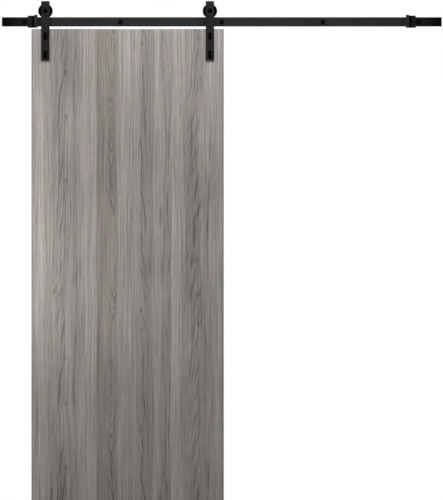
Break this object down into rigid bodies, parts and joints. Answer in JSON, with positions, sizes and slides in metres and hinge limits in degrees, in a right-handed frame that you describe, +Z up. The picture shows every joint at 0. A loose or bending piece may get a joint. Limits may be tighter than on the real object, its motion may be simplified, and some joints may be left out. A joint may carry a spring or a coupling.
{
  "type": "sliding barn door",
  "caption": "Flush grey wood-look leaf that slides along a flat black wall track on bent strap hangers with grooved rollers, between buffered end stops.",
  "frame": {"origin": "on the wall plane, on the axis of the middle track screw, at the middle of the track's height", "axes": "+X along the track to the right as seen from the room, +Y into the wall, +Z up"},
  "size_m": [2, 0.1201, 2.2724],
  "materials": {
    "black_powder_coat": "satin",
    "black_fastener": "satin",
    "black_nylon": "satin",
    "black_rubber": "matte",
    "bearing_steel": "ground",
    "grey_wood_laminate": "satin",
    "pine": "raw",
    "chipboard": "raw"
  },
  "bodies": {
    "track": {"track_spacer_1": "black_powder_coat", "track_screw_1": "black_fastener", "track_spacer_2": "black_powder_coat", "track_screw_2": "black_fastener", "track_spacer_3": "black_powder_coat", "track_screw_3": "black_fastener", "track_spacer_4": "black_powder_coat", "track_screw_4": "black_fastener", "track_spacer_5": "black_powder_coat", "track_screw_5": "black_fastener", "track_rail": "black_powder_coat", "track_washers": "black_fastener", "stop_left_clamp": "black_powder_coat", "stop_left_striker": "black_powder_coat", "stop_left_buffer": "black_rubber", "stop_left_set_screws": "black_fastener", "stop_right_clamp": "black_powder_coat", "stop_right_striker": "black_powder_coat", "stop_right_buffer": "black_rubber", "stop_right_set_screws": "black_fastener"},
    "door": {"hanger_left_strap": "black_powder_coat", "hanger_left_axle_bolt": "black_fastener", "hanger_left_axle_nut": "black_fastener", "hanger_left_axle_sleeves": "bearing_steel", "hanger_left_bearing_inner_race": "bearing_steel", "hanger_left_door_bolts": "black_fastener", "hanger_left_sleeve_nuts": "black_fastener", "hanger_right_strap": "black_powder_coat", "hanger_right_axle_bolt": "black_fastener", "hanger_right_axle_nut": "black_fastener", "hanger_right_axle_sleeves": "bearing_steel", "hanger_right_bearing_inner_race": "bearing_steel", "hanger_right_door_bolts": "black_fastener", "hanger_right_sleeve_nuts": "black_fastener", "door_face_front": "grey_wood_laminate", "door_face_rear": "grey_wood_laminate", "door_edge_band_left": "grey_wood_laminate", "door_edge_band_right": "grey_wood_laminate", "door_edge_band_top": "grey_wood_laminate", "door_stile_left": "pine", "door_stile_right": "pine", "door_top_rail": "pine", "door_bottom_rail": "pine", "door_core": "chipboard"},
    "wheel_left": {"roller_left_wheel": "black_nylon", "roller_left_bearing_outer_race": "bearing_steel", "roller_left_bearing_seals": "black_rubber"},
    "ball_cage_left": {"roller_left_bearing_cage": "bearing_steel", "roller_left_bearing_balls": "bearing_steel"},
    "wheel_right": {"roller_right_wheel": "black_nylon", "roller_right_bearing_outer_race": "bearing_steel", "roller_right_bearing_seals": "black_rubber"},
    "ball_cage_right": {"roller_right_bearing_cage": "bearing_steel", "roller_right_bearing_balls": "bearing_steel"}
  },
  "joints": [
    {"name": "door_slide", "type": "slide", "parent": "track", "child": "door", "axis": [1, 0, 0], "range_m": [-0.0073, 0.8633]},
    {"name": "wheel_left_spin", "type": "hinge", "parent": "door", "child": "wheel_left", "pos_m": [-0.802, -0.041, 0.0492], "axis": [0, 1, 0], "continuous": true},
    {"name": "ball_cage_left_spin", "type": "hinge", "parent": "door", "child": "ball_cage_left", "pos_m": [-0.802, -0.041, 0.0492], "axis": [0, 1, 0], "continuous": true},
    {"name": "wheel_right_spin", "type": "hinge", "parent": "door", "child": "wheel_right", "pos_m": [-0.054, -0.041, 0.0492], "axis": [0, 1, 0], "continuous": true},
    {"name": "ball_cage_right_spin", "type": "hinge", "parent": "door", "child": "ball_cage_right", "pos_m": [-0.054, -0.041, 0.0492], "axis": [0, 1, 0], "continuous": true}
  ],
  "couplings": [
    {"joint": "wheel_left_spin", "follows": "door_slide", "rad_per_m": 35.842},
    {"joint": "ball_cage_left_spin", "follows": "door_slide", "rad_per_m": 22.186},
    {"joint": "wheel_right_spin", "follows": "door_slide", "rad_per_m": 35.842},
    {"joint": "ball_cage_right_spin", "follows": "door_slide", "rad_per_m": 22.186}
  ]
}
